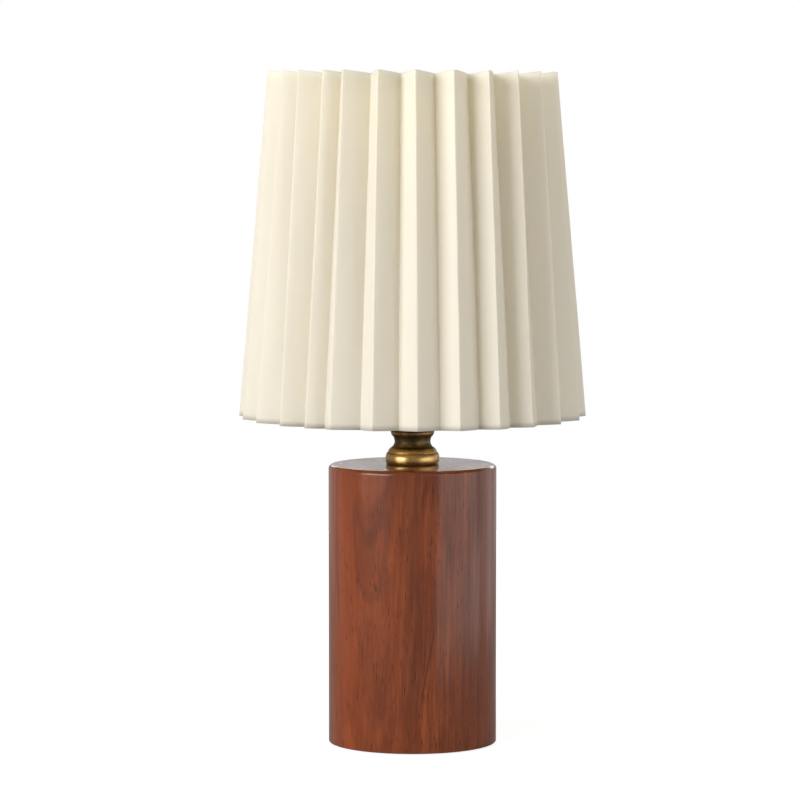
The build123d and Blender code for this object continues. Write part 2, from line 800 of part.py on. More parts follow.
# Driver board standing in the body, with a coil on each face
driver_bottom = insert_level + bulb_neck_insert / 4
driver_width = (insert_radius - bulb_body_wall - slip_gap) * 2
driver_coil_level = driver_bottom + driver_height - driver_coil_height
with BuildPart() as bulb_driver_board:
    with BuildSketch(Plane.XY.offset(driver_bottom)):
        Rectangle(driver_width, driver_thickness)
    extrude(amount=driver_height)
    with BuildSketch(Plane.XY.offset(driver_coil_level)):
        for side in (1, -1):
            with Locations((0, side * driver_coil_radius)):
                Circle(driver_coil_radius)
    extrude(amount=driver_coil_height)
bulb_driver_board.part.label = "bulb_driver_board"
export_step(bulb_driver_board.part, "parts/bulb_driver_board.step")

# Opal globe on the body
globe_centre = globe_level + bulb_globe_rise
globe_top = globe_centre + bulb_globe_radius
globe_bore = bulb_globe_radius - bulb_globe_wall
with BuildPart() as bulb_diffuser:
    with BuildSketch(Plane.XZ):
        with BuildLine():
            Line((bulb_body_radius, globe_level), (bulb_body_radius - bulb_globe_wall, globe_level))
            TangentArc((bulb_globe_radius, globe_centre), (bulb_body_radius, globe_level), tangent=(0, -1))
            CenterArc((0, globe_centre), bulb_globe_radius, 0, 90)
            Line((0, globe_top), (0, globe_top - bulb_globe_wall))
            CenterArc((0, globe_centre), globe_bore, 0, 90)
            TangentArc(
                (globe_bore, globe_centre),
                (bulb_body_radius - bulb_globe_wall, globe_level),
                tangent=(0, -1),
            )
        make_face()
    revolve(axis=Axis.Z)
bulb_diffuser.part.label = "bulb_diffuser"
export_step(bulb_diffuser.part, "parts/bulb_diffuser.step")
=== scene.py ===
import random
from math import cos, pi, radians, sin

import bmesh
import bpy
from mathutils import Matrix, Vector


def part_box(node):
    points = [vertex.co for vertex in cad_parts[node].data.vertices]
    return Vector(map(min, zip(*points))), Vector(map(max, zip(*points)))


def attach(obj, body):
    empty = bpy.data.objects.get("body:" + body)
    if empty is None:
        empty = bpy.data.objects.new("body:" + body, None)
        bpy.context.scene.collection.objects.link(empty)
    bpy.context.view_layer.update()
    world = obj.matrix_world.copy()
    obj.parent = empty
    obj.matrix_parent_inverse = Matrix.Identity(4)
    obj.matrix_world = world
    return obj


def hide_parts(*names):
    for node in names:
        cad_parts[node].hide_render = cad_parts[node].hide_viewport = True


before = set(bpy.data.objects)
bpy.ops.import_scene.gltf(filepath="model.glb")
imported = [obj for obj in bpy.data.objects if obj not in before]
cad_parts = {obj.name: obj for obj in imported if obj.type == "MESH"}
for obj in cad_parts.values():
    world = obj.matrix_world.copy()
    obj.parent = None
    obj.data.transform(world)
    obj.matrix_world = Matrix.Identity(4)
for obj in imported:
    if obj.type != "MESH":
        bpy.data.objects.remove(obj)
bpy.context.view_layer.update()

# Studio: white paper under the lamp, a large soft light on the left of the camera, weaker
# broad ones on the right, above and behind, a low strip on the right, and a camera with a
# long lens. Paper, lights and camera are not part of the lamp.


class Expression:
    """A socket of a node tree. Arithmetic on it adds Math nodes."""

    def __init__(self, tree, socket):
        self.tree = tree
        self.socket = socket

    def math(self, operation, *values):
        """A Math node on these values, in this order."""
        node = self.tree.nodes.new("ShaderNodeMath")
        node.operation = operation
        for place, value in enumerate(values):
            join(value, node.inputs[place])
        return Expression(self.tree, node.outputs[0])

    def __add__(self, other):
        return self.math("ADD", self, other)

    def __radd__(self, other):
        return self.math("ADD", other, self)

    def __sub__(self, other):
        return self.math("SUBTRACT", self, other)

    def __rsub__(self, other):
        return self.math("SUBTRACT", other, self)

    def __mul__(self, other):
        return self.math("MULTIPLY", self, other)

    def __truediv__(self, other):
        return self.math("DIVIDE", self, other)

    def __pow__(self, other):
        return self.math("POWER", self, other)

    def larger(self, other):
        return self.math("MAXIMUM", self, other)

    def size(self):
        return self.math("ABSOLUTE", self)

    def sine(self):
        return self.math("SINE", self)

    def cosine(self):
        return self.math("COSINE", self)

    def step(self, low, high):
        """0 below low and 1 above high, with a soft change between them."""
        node = self.tree.nodes.new("ShaderNodeMapRange")
        node.interpolation_type = "SMOOTHSTEP"
        join(self, node.inputs[0])
        join(low, node.inputs[1])
        join(high, node.inputs[2])
        return Expression(self.tree, node.outputs[0])


def join(value, socket):
    if isinstance(value, Expression):
        value.tree.links.new(value.socket, socket)
    else:
        socket.default_value = value


class Graph:
    """A node tree that is filled in with node()."""

    def __init__(self, tree):
        self.tree = tree
        tree.nodes.clear()

    def node(self, kind, settings=None, sockets=None, out=0):
        node = self.tree.nodes.new(kind)
        for name, value in (settings or {}).items():
            if name == "stops":
                stops = node.color_ramp.elements
                while len(stops) > 1:
                    stops.remove(stops[-1])
                stops[0].position, stops[0].color = value[0]
                for place, colour in value[1:]:
                    stops.new(place).color = colour
            else:
                setattr(node, name, value)
        for name, value in (sockets or {}).items():
            join(value, node.inputs[name])
        return Expression(self.tree, node.outputs[out]) if node.outputs else None

    def mix(self, factor, first, second):
        """Two colours mixed. The shader node keeps its colour sockets at these places."""
        sockets = {0: factor, 6: first, 7: second}
        return self.node("ShaderNodeMix", {"data_type": "RGBA"}, sockets, 2)

    def bump(self, height, strength, distance):
        sockets = {"Height": height, "Strength": strength, "Distance": distance}
        return self.node("ShaderNodeBump", None, sockets)


def new_finish(name):
    """A material and the graph of its nodes."""
    material = bpy.data.materials.new(name)
    material.use_nodes = True
    return material, Graph(material.node_tree)


def show(graph, shader):
    graph.node("ShaderNodeOutputMaterial", None, {"Surface": shader})


def blend(graph, share, first, second):
    """Two shaders, mixed by the share of the second."""
    return graph.node("ShaderNodeMixShader", None, {0: share, 1: first, 2: second})


lens_millimetres = 177.5
sensor_millimetres = 36
camera_place = (-0.0072, -2.264, 0.3765)
camera_tilt = radians(85.5)
camera_data = bpy.data.cameras.new("camera")
camera_data.lens = lens_millimetres
camera_data.sensor_width = sensor_millimetres
camera = bpy.data.objects.new("camera", camera_data)
camera.location = camera_place
camera.rotation_euler = (camera_tilt, 0, 0)
bpy.context.scene.collection.objects.link(camera)
bpy.context.scene.camera = camera
bpy.context.scene.view_settings.view_transform = "Standard"

paper_level = -0.0002
paper_corners = [(-0.5, -0.3), (0.5, -0.3), (0.5, 1.1), (-0.5, 1.1)]
paper_mesh = bpy.data.meshes.new("paper")
paper_mesh.from_pydata([(x, y, paper_level) for x, y in paper_corners], [], [(0, 1, 2, 3)])
paper = bpy.data.objects.new("paper", paper_mesh)
bpy.context.scene.collection.objects.link(paper)


def seen_straight(graph, glossy_share):
    """1 for a ray from the camera, and less for one that a glossy face sends on.

    Transmission rays stay out: those through the shade's cloth would make it far too bright.
    """
    camera_ray = graph.node("ShaderNodeLightPath")
    glossy_ray = graph.node("ShaderNodeLightPath", out="Is Glossy Ray")
    return camera_ray.larger(glossy_ray * glossy_share)


paper_glossy_share = 0.10
paper_glow = 0.82
paper_finish, graph = new_finish("white paper")
plain = graph.node("ShaderNodeBsdfDiffuse", None, {"Color": (0.22, 0.22, 0.22, 1)})
shadowed = graph.node("ShaderNodeBsdfDiffuse", None, {"Color": (0.34, 0.34, 0.34, 1)})
glow = graph.node("ShaderNodeEmission", None, {"Color": (1, 1, 1, 1), "Strength": paper_glow})
bright = graph.node("ShaderNodeAddShader", None, {0: shadowed, 1: glow})
show(graph, blend(graph, seen_straight(graph, paper_glossy_share), plain, bright))
paper.data.materials.append(paper_finish)

room_glossy_share = 0.30
room_strength = 0.20
room = bpy.data.worlds.new("room")
room.use_nodes = True
graph = Graph(room.node_tree)
room_sockets = {"Color": (1.0, 0.99, 0.98, 1), "Strength": room_strength}
room_light = graph.node("ShaderNodeBackground", None, room_sockets)
white = graph.node("ShaderNodeBackground", None, {"Color": (1, 1, 1, 1), "Strength": 1.0})
shown = blend(graph, seen_straight(graph, room_glossy_share), room_light, white)
graph.node("ShaderNodeOutputWorld", None, {"Surface": shown})
bpy.context.scene.world = room


aim_height = 0.2
neutral = (1.0, 1.0, 1.0)
warm = (1.0, 0.995, 0.985)


def softbox(name, azimuth, distance, height, size, energy, colour=neutral):
    """A rectangular light that faces the lamp. The azimuth is from the camera's side, to the right."""
    data = bpy.data.lights.new(name, "AREA")
    data.shape = "RECTANGLE"
    data.size, data.size_y = size
    data.energy = energy
    data.color = colour
    light = bpy.data.objects.new(name, data)
    across, away = sin(radians(azimuth)), -cos(radians(azimuth))
    light.location = (across * distance, away * distance, height)
    aim = Vector((0, 0, aim_height)) - light.location
    light.rotation_euler = aim.to_track_quat("-Z", "Y").to_euler()
    light.visible_camera = False
    bpy.context.scene.collection.objects.link(light)


softbox("key light", -51, 1.6, 0.75, (1.15, 1.1), 31.0, warm)
softbox("fill light", 65, 1.5, 0.40, (1.7, 0.80), 6.9)
softbox("low light", 66, 0.50, 0.030, (0.7, 0.09), 0.22)
softbox("side light", 113, 1.4, 0.32, (1.2, 0.80), 1.4)
softbox("shade light", 34, 1.7, 0.95, (1.3, 0.60), 4.4)
softbox("back light", 172, 1.7, 0.85, (1.6, 0.70), 11.0)
softbox("top light", -5, 0.9, 1.9, (1.5, 1.1), 11.0)

# Wooden base: a cylinder of dark red-brown hardwood, turned on a lathe, with a rounded top
# edge, sanded and given a satin lacquer. It is bored from top to bottom for the stem.


sharp_angle = radians(32)
joining_distance = 2e-6


def smoothed(node, name):
    """A piece with a CAD node's shape, its triangles joined and its round faces shaded smooth."""
    shape = bmesh.new()
    shape.from_mesh(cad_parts[node].data)
    for layer in list(shape.loops.layers.float_vector):
        shape.loops.layers.float_vector.remove(layer)
    bmesh.ops.remove_doubles(shape, verts=shape.verts, dist=joining_distance)
    points = [corner.co.copy() for corner in shape.verts]
    shape.verts.index_update()
    faces = [[corner.index for corner in face.verts] for face in shape.faces]
    shape.free()
    mesh = bpy.data.meshes.new(name)
    mesh.from_pydata(points, [], faces)
    mesh.shade_smooth()
    mesh.set_sharp_from_angle(angle=sharp_angle)
    piece = bpy.data.objects.new(name, mesh)
    bpy.context.scene.collection.objects.link(piece)
    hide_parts(node)
    return piece


def dress(piece, material, body):
    piece.data.materials.clear()
    piece.data.materials.append(material)
    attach(piece, body)


def repaint(node, material):
    """A CAD node that keeps its shape gets its finish."""
    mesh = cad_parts[node].data
    for place in range(len(mesh.materials)):
        mesh.materials[place] = material
    if not mesh.materials:
        mesh.materials.append(material)


def principled(graph, sockets):
    return graph.node("ShaderNodeBsdfPrincipled", None, sockets)


def three_numbers(graph, first=0.0, second=0.0, third=0.0):
    """A vector made of three numbers."""
    return graph.node("ShaderNodeCombineXYZ", None, {0: first, 1: second, 2: third})


def object_place(graph, scale=(1, 1, 1), location=(0, 0, 0)):
    """Object coordinates in metres, scaled and moved."""
    place = graph.node("ShaderNodeTexCoord", out="Object")
    sockets = {"Vector": place, "Scale": scale, "Location": location}
    return graph.node("ShaderNodeMapping", None, sockets)


def noise(graph, vector, scale=1.0, detail=3.0, roughness=0.55, distortion=0.0):
    sockets = {
        "Vector": vector,
        "Scale": scale,
        "Detail": detail,
        "Roughness": roughness,
        "Distortion": distortion,
    }
    return graph.node("ShaderNodeTexNoise", None, sockets)


def axes(graph, vector):
    """The three numbers of a vector."""
    parts = graph.node("ShaderNodeSeparateXYZ", None, {0: vector})
    sockets = parts.socket.node.outputs
    return [Expression(graph.tree, socket) for socket in sockets]


walnut, graph = new_finish("lacquered walnut")
pith_x, pith_y = 0.059, 0.110
pith_lean = 0.018
x, y, z = axes(graph, object_place(graph))
sway = noise(graph, object_place(graph, (9, 9, 3.0))) - 0.5
across = x - pith_x - z * pith_lean + sway * 0.009
along = y - pith_y + sway * 0.008
ring = (across * across + along * along) ** 0.5
growth = three_numbers(graph, ring * 210, z * 3.4, sway * 4)
wide_band = noise(graph, growth, 1.0, 3.0, 0.55)
fine_growth = three_numbers(graph, ring * 900, z * 9.0, sway * 9)
fine_band = noise(graph, fine_growth, 1.0, 4.0, 0.65)
fibre = noise(graph, object_place(graph, (1700, 1700, 42)), 1.0, 4.0, 0.65)
figure = noise(graph, object_place(graph, (70, 70, 26)), 1.0, 4.0, 0.6, 0.6)
tone = wide_band * 0.26 + fine_band * 0.30 + fibre * 0.26 + figure * 0.22
wood_stops = [
    (0.40, (0.082, 0.0175, 0.0060, 1)),
    (0.48, (0.142, 0.0300, 0.0085, 1)),
    (0.55, (0.196, 0.0435, 0.0120, 1)),
    (0.64, (0.275, 0.0670, 0.0200, 1)),
]
tint = graph.node("ShaderNodeValToRGB", {"stops": wood_stops}, {0: tone})
front = (0 - y).step(0.0, 0.02)
# Painted light: the left front, where the key light falls, is painted a lighter, more saturated orange
painted_light_left_front = (1 - (x + sway * 0.012).step(-0.040, -0.022)) * front
tint = graph.mix(painted_light_left_front * 0.45, tint, (0.270, 0.050, 0.010, 1))


def cells(graph, scale):
    """The distance to the nearest of many scattered points."""
    sockets = {"Vector": object_place(graph, scale), "Scale": 1.0, "Randomness": 1.0}
    return graph.node("ShaderNodeTexVoronoi", {"feature": "F1"}, sockets)


pore_cell = cells(graph, (1050, 1050, 120))
pore_patch = noise(graph, object_place(graph, (110, 110, 14)), 1.0, 3.0)
pore = (1 - pore_cell.step(0.10, 0.30)) * pore_patch.step(0.42, 0.62)
tint = graph.mix(pore * 0.75, tint, (0.050, 0.013, 0.007, 1))
vein_place = three_numbers(graph, ring * 120, z * 2.2, 4.0)
vein_cut = noise(graph, vein_place, 1.0, 2.0)
vein = 1 - (vein_cut - 0.5).size().step(0.003, 0.016)
tint = graph.mix(vein * 0.35, tint, (0.085, 0.022, 0.010, 1))
long_pore_cell = cells(graph, (620, 620, 62))
long_pore_patch = noise(graph, object_place(graph, (60, 60, 11), (3, 1, 0)), 1.0, 2.0)
long_pore = (1 - long_pore_cell.step(0.06, 0.24)) * long_pore_patch.step(0.40, 0.58)
tint = graph.mix(long_pore * 0.95, tint, (0.045, 0.012, 0.007, 1))
slant_x, slant_z, slant_lean = 0.007, 0.036, 0.17
slant = x - slant_x - (z - slant_z) * slant_lean + sway * 0.006
slant_line = (1 - slant.size().step(0.0, 0.0008)) * z.step(0.020, 0.040) * (1 - z.step(0.060, 0.078))
slant_side = (1 - slant.step(-0.001, 0.003)) * (slant + 0.009).step(-0.004, 0.006)
slant_side = slant_side * z.step(0.006, 0.034) * (1 - z.step(0.062, 0.090))
streak = 1 - (x + 0.001 + sway * 0.010).size().step(0.0, 0.0095)
dark_marks = (slant_line * 0.65 + slant_side * 0.22 + streak * (0.12 + fine_band * 0.30)) * front
tint = graph.mix(dark_marks, tint, (0.060, 0.016, 0.008, 1))
relief = fibre * 0.35 + (1 - pore) * 0.45 + (1 - long_pore) * 0.25
lacquered = {
    "Base Color": tint,
    "Roughness": 0.40 + fibre * 0.14,
    "Specular IOR Level": 0.05,
    "Coat Weight": 1.0,
    "Coat Roughness": 0.18,
    "Coat IOR": 1.42,
    "Normal": graph.bump(relief, 0.22, 0.00012),
}
show(graph, principled(graph, lacquered))
wood = smoothed("wood_base", "turned_wood_base")
dress(wood, walnut, "base")

# Pad under the base: a disc of black felt let into a shallow rebate and glued there, so
# that the lamp does not mark a table.

felt, graph = new_finish("black felt")
fluff = noise(graph, object_place(graph, (900, 900, 900)), 1.0, 4.0, 0.7)
tangle = noise(graph, object_place(graph, (260, 260, 260)), 1.0, 3.0, 0.6, 1.2)
felt_colour = graph.mix(fluff * 0.6 + tangle * 0.4, (0.012, 0.011, 0.011, 1), (0.070, 0.066, 0.064, 1))
felted = {
    "Base Color": felt_colour,
    "Roughness": 0.96,
    "Sheen Weight": 0.35,
    "Normal": graph.bump(fluff + tangle, 0.8, 0.0004),
}
show(graph, principled(graph, felted))
repaint("base_pad", felt)

# Cord grommet: a flanged bush of black rubber, pressed into the outlet at the back of the
# base, where the cord comes out.

rubber, graph = new_finish("black rubber")
grain = noise(graph, object_place(graph, (1400, 1400, 1400)), 1.0, 3.0)
bloom = noise(graph, object_place(graph, (120, 120, 120)), 1.0, 2.0)
rubbery = {
    "Base Color": graph.mix(bloom, (0.014, 0.014, 0.015, 1), (0.034, 0.033, 0.033, 1)),
    "Roughness": 0.5 + grain * 0.25,
    "Normal": graph.bump(grain, 0.25, 0.0001),
}
show(graph, principled(graph, rubbery))
dress(smoothed("cord_grommet", "rubber_grommet"), rubber, "base")

# Stem with its washers and nut: a hollow threaded rod of zinc-plated steel, which draws the
# neck and the lampholder down onto the wood.

zinc, graph = new_finish("zinc plated steel")
thread_pitch = 0.001
z = axes(graph, object_place(graph))[2]
thread_turn = (z * (2 * pi / thread_pitch)).sine()
spangle = noise(graph, object_place(graph, (420, 420, 420)), 1.0, 3.0)
plated = {
    "Base Color": graph.mix(spangle, (0.50, 0.50, 0.47, 1), (0.68, 0.67, 0.62, 1)),
    "Metallic": 1.0,
    "Roughness": 0.28 + spangle * 0.2,
    "Normal": graph.bump(thread_turn, 0.25, 0.0002),
}
show(graph, principled(graph, plated))
for node in ("stem_tube", "stem_washer", "stem_lock_washer", "stem_nut", "cap_lock_screw"):
    repaint(node, zinc)

# Neck: a brass turning with a round foot, a narrow waist, a bead and a flared lip, darkened
# to an antique finish and rubbed bright on its high places, with painted shade darkening its
# upper part under the lampshade. The stem runs through it.

brass, graph = new_finish("antique brass")
z = axes(graph, object_place(graph))[2]
neck_low, neck_high = (corner.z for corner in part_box("brass_neck"))
rise = (z - neck_low) / (neck_high - neck_low)
# Darkness up the neck: patina in its grooves, plus painted shade over the upper part under the
# lampshade
patina_and_shade_levels = [
    (0.00, 0.75), (0.05, 0.24), (0.22, 0.22), (0.262, 0.30), (0.277, 1.0), (0.30, 0.40),
    (0.36, 0.26), (0.40, 0.50), (0.415, 0.95), (0.44, 0.76), (0.54, 0.86), (0.66, 0.88),
    (0.681, 1.0), (0.705, 0.60), (0.76, 0.50), (0.79, 0.62), (0.81, 1.0), (0.87, 0.86),
    (0.94, 0.68), (1.00, 0.90),
]
patina_and_shade_stops = [(place, (level, level, level, 1)) for place, level in patina_and_shade_levels]
depth = graph.node("ShaderNodeValToRGB", {"stops": patina_and_shade_stops}, {0: rise})
patina_and_shade_level = graph.node("ShaderNodeRGBToBW", None, {0: depth})
mottle = noise(graph, object_place(graph, (190, 190, 260)), 1.0, 4.0, 0.6)
turning = noise(graph, three_numbers(graph, z * 5200), 1.0, 2.0)
dark = (patina_and_shade_level * 0.75 + mottle * 1.0 - 0.43).step(0.05, 0.85)
# Bright rubbed brass, darkened where there is patina and where shade is painted on
worn_and_shaded = graph.mix(dark, (0.60, 0.370, 0.142, 1), (0.080, 0.058, 0.033, 1))
neck_metal = {
    "Base Color": worn_and_shaded,
    "Metallic": 1.0,
    "Roughness": 0.25 + dark * 0.20 + mottle * 0.06,
    "Normal": graph.bump(turning * 0.6 + mottle * 0.4, 0.12, 0.00008),
}
show(graph, principled(graph, neck_metal))
dress(smoothed("brass_neck", "turned_brass_neck"), brass, "base")

# Lampholder: a black phenolic sleeve with the shade's seat, on a brass cap that is locked to
# the stem. Inside are a porcelain core, two terminals and the screw shell with its contact.

contact_brass, graph = new_finish("contact brass")
stain = noise(graph, object_place(graph, (300, 300, 300)), 1.0, 4.0, 0.65)
bright_brass = {
    "Base Color": graph.mix(stain, (0.78, 0.56, 0.24, 1), (0.50, 0.33, 0.12, 1)),
    "Metallic": 1.0,
    "Roughness": 0.22 + stain * 0.2,
}
show(graph, principled(graph, bright_brass))
for node in ("terminal_screws", "holder_terminals", "holder_centre_contact", "holder_screw_shell"):
    repaint(node, contact_brass)
dress(smoothed("holder_cap", "brass_holder_cap"), brass, "base")

porcelain, graph = new_finish("glazed porcelain")
glaze = noise(graph, object_place(graph, (150, 150, 150)), 1.0, 3.0)
glazed = {
    "Base Color": graph.mix(glaze, (0.80, 0.78, 0.73, 1), (0.70, 0.67, 0.61, 1)),
    "Roughness": 0.18 + glaze * 0.15,
    "Coat Weight": 0.5,
}
show(graph, principled(graph, glazed))
repaint("holder_core", porcelain)

phenolic, graph = new_finish("black phenolic")
filler = noise(graph, object_place(graph, (700, 700, 700)), 1.0, 3.0)
cloud = noise(graph, object_place(graph, (60, 60, 60)), 1.0, 2.0)
moulded = {
    "Base Color": graph.mix(cloud, (0.012, 0.011, 0.011, 1), (0.028, 0.025, 0.024, 1)),
    "Roughness": 0.26 + filler * 0.18,
    "Coat Weight": 0.2,
    "Normal": graph.bump(filler, 0.12, 0.00006),
}
show(graph, principled(graph, moulded))
dress(smoothed("holder_sleeve", "phenolic_sleeve"), phenolic, "base")

# Shade ring: a fluted phenolic nut on the sleeve's thread. It clamps the shade's fitter to
# the seat, and unscrews upwards.

dress(smoothed("shade_ring", "fluted_shade_ring"), phenolic, "shade_ring")

# Shade frame: a flat fitter ring, three spokes and two wire rings, welded and dipped in
# white paint. The cloth is tied to the rings at every inner fold.

white_paint, graph = new_finish("white painted wire")
drip = noise(graph, object_place(graph, (130, 130, 130)), 1.0, 3.0)
pinhole = noise(graph, object_place(graph, (800, 800, 800)), 1.0, 2.0)
painted = {
    "Base Color": graph.mix(drip, (0.80, 0.79, 0.76, 1), (0.70, 0.69, 0.65, 1)),
    "Roughness": 0.34 + pinhole * 0.15,
    "Normal": graph.bump(drip * 0.7 + pinhole * 0.3, 0.2, 0.0002),
}
show(graph, principled(graph, painted))
repaint("fitter_spokes", white_paint)
for node, name in (
    ("fitter_ring", "painted_fitter_ring"),
    ("shade_bottom_ring", "painted_bottom_ring"),
    ("shade_top_ring", "painted_top_ring"),
):
    dress(smoothed(node, name), white_paint, "shade")

# The pleats' widths against an even one, from the left and round by the front
pleat_width_shares = (
    [0.97, 0.97, 0.89, 0.86, 0.64, 0.99, 1.01, 0.99, 0.99, 0.96, 1.03, 1.08, 1.12]
    + [1.03, 1.05, 1.02, 1.06, 1.04, 1.01, 1.07, 1.03, 1.05, 1.02, 1.06, 1.06]
)
narrow_pleat = 4
narrow_pleat_depth = 0.70
pleat_turns = [2 * pi * share / sum(pleat_width_shares) for share in pleat_width_shares]
pleat_starts = [pi + sum(pleat_turns[:number]) for number in range(len(pleat_turns))]
# Where each inner fold lies between its two outer folds
inner_shares = [0.5, 0.5, 0.5, 0.5, 0.5, 0.58, 0.55, 0.60, 0.70, 0.68, 0.66, 0.66, 0.62] + [0.5] * 12


def grown(name, points, faces, numbers, tree, values, uv=None):
    """A plain mesh made by a Geometry Nodes tree from points that carry numbers."""
    mesh = bpy.data.meshes.new(name)
    mesh.from_pydata(points, [], faces)
    for label, column in numbers.items():
        mesh.attributes.new(label, "FLOAT", "POINT").data.foreach_set("value", column)
    if uv:
        flat = [part for corner in uv for part in corner]
        mesh.uv_layers.new(name="cloth").data.foreach_set("uv", flat)
    piece = bpy.data.objects.new(name, mesh)
    bpy.context.scene.collection.objects.link(piece)
    growth = piece.modifiers.new("growth", "NODES")
    growth.node_group = tree
    for socket in tree.interface.items_tree:
        if socket.name in values:
            growth[socket.identifier] = values[socket.name]
    graph = bpy.context.evaluated_depsgraph_get()
    piece.data = bpy.data.meshes.new_from_object(piece.evaluated_get(graph))
    piece.data.name = name
    piece.modifiers.clear()
    return piece


def new_tree(name, inputs):
    """A Geometry Nodes tree with named inputs, its graph, and the inputs as expressions."""
    tree = bpy.data.node_groups.new(name, "GeometryNodeTree")
    graph = Graph(tree)
    for label, kind in inputs.items():
        tree.interface.new_socket(name=label, in_out="INPUT", socket_type=kind)
    tree.interface.new_socket(name="Piece", in_out="OUTPUT", socket_type="NodeSocketGeometry")
    sockets = tree.nodes.new("NodeGroupInput").outputs
    return tree, graph, {label: Expression(tree, sockets[label]) for label in inputs}


def finish_tree(graph, shape, material):
    """The end of a tree: its instances are made real and get their material."""
    real = graph.node("GeometryNodeRealizeInstances", None, {"Geometry": shape})
    made = graph.node("GeometryNodeSetMaterial", None, {"Geometry": real, "Material": material})
    graph.node("NodeGroupOutput", None, {"Piece": made})


def carried(graph, label):
    """A number that the points carry."""
    return graph.node("GeometryNodeInputNamedAttribute", {"data_type": "FLOAT"}, {"Name": label})


geometry, number_input, whole_input, finish_input = (
    "NodeSocketGeometry",
    "NodeSocketFloat",
    "NodeSocketInt",
    "NodeSocketMaterial",
)
tie_inputs = {
    "Points": geometry,
    "Loop radius": number_input,
    "Thread radius": number_input,
    "Turns": whole_input,
    "Pitch": number_input,
    "Lean": number_input,
    "Seed": whole_input,
    "Finish": finish_input,
}
tie_tree, graph, given = new_tree("thread ties", tie_inputs)
coil_sockets = {
    "Resolution": 12,
    "Rotations": given["Turns"],
    "Start Radius": given["Loop radius"],
    "End Radius": given["Loop radius"],
    "Height": given["Pitch"] * given["Turns"],
}
coil = graph.node("GeometryNodeCurveSpiral", None, coil_sockets)
thread_profile = graph.node(
    "GeometryNodeCurvePrimitiveCircle", None, {"Resolution": 6, "Radius": given["Thread radius"]}
)
thread = graph.node(
    "GeometryNodeCurveToMesh", None, {"Curve": coil, "Profile Curve": thread_profile, "Fill Caps": True}
)
down = three_numbers(graph, third=given["Pitch"] * given["Turns"] * -0.5)
centred = graph.node("GeometryNodeTransform", None, {"Geometry": thread, "Translation": down})
slant_sockets = {2: given["Lean"] * -1.0, 3: given["Lean"], "Seed": given["Seed"]}
slant = graph.node("FunctionNodeRandomValue", {"data_type": "FLOAT"}, slant_sockets, 1)
turned = three_numbers(graph, pi / 2 + slant, 0.0, carried(graph, "turn"))
facing = graph.node("FunctionNodeEulerToRotation", None, {0: turned})
ties = graph.node(
    "GeometryNodeInstanceOnPoints",
    None,
    {"Points": given["Points"], "Instance": centred, "Rotation": facing},
)
finish_tree(graph, ties, given["Finish"])

thread_white, graph = new_finish("white linen thread")
twist = noise(graph, object_place(graph, (2600, 2600, 2600)), 1.0, 2.0)
linen = {
    "Base Color": graph.mix(twist, (0.66, 0.62, 0.54, 1), (0.82, 0.79, 0.72, 1)),
    "Roughness": 0.85,
    "Normal": graph.bump(twist, 0.6, 0.0002),
}
show(graph, principled(graph, linen))
for node, name in (("shade_bottom_ring", "bottom_ring_ties"), ("shade_top_ring", "top_ring_ties")):
    low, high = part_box(node)
    wire_radius = (high.z - low.z) / 2
    ring_radius = (high.x - low.x) / 2 - wire_radius
    pleats = zip(pleat_starts, pleat_turns, inner_shares)
    places = [start + turn * share for start, turn, share in pleats]
    tie_points = [(ring_radius * cos(at), ring_radius * sin(at), (low.z + high.z) / 2) for at in places]
    tie_values = {
        "Loop radius": wire_radius + 0.00025,
        "Thread radius": 0.00022,
        "Turns": 4,
        "Pitch": 0.00048,
        "Lean": 0.20,
        "Seed": 4,
        "Finish": thread_white,
    }
    tie = grown(name, tie_points, [], {"turn": places}, tie_tree, tie_values)
    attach(tie, "shade")

# Shade: a strip of off-white linen-cotton cloth, scored and folded into 25 knife-sharp
# pleats, bent round and glued along one pleat at the back, then tied to the wire rings.
# One pleat on the left of the front is narrow.

shade_low, shade_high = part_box("pleated_shade")
pleat_bottom_dip = 0.0005
pleat_top_dip = 0.0022
shade_bottom_level = shade_low.z + pleat_bottom_dip
shade_top_level = shade_high.z
bottom_fold_radius = 0.100
top_fold_radius = 0.0833
fold_stops = (0.0, 0.012, 0.03, 0.06, 0.12, 0.22, 0.36, 0.5, 0.64, 0.78, 0.88, 0.94, 0.97, 0.988, 1.0)
cloth_rows = 58
panel_width = 0.0174
cloth_height = 0.1991
cloth_thickness = 0.00045

# How many degrees each outer fold leans sideways from the bottom to the top
fold_twists = [0, 0, 0.6, -2.5, -0.2, -0.3, -0.4, -0.6, 0.7, 1.6, 2.5, 3.8, 4.0] + [1.0] + [0] * 11

cloth_inputs = {
    "Flat cloth": geometry,
    "Bottom radius": number_input,
    "Top radius": number_input,
    "Bottom level": number_input,
    "Top level": number_input,
    "Bottom depth": number_input,
    "Top depth": number_input,
    "Top dip": number_input,
    "Bottom dip": number_input,
    "Front stretch": number_input,
    "Lean": number_input,
    "Fold softness": number_input,
    "Bow": number_input,
    "Wander": number_input,
    "Crinkle": number_input,
    "Seed": number_input,
    "Finish": finish_input,
}
cloth_tree, graph, given = new_tree("pleated cloth", cloth_inputs)
rise, fold, turn = carried(graph, "rise"), carried(graph, "fold"), carried(graph, "turn")
share, belly, panel = carried(graph, "share"), carried(graph, "belly"), carried(graph, "panel")
twist = carried(graph, "twist")
soft = given["Fold softness"]
near_outer = (fold * fold + soft * soft) ** 0.5
near_inner = ((1 - fold) * (1 - fold) + soft * soft) ** 0.5
folded = near_outer - near_inner + (1 - fold)
outer_radius = given["Bottom radius"] + (given["Top radius"] - given["Bottom radius"]) * rise
depth = (given["Bottom depth"] + (given["Top depth"] - given["Bottom depth"]) * rise) * share
wander_place = three_numbers(graph, turn.cosine() * 9.0, turn.sine() * 9.0, rise * 1.6 + given["Seed"])
wander = noise(graph, wander_place, 1.0, 2.0) - 0.5
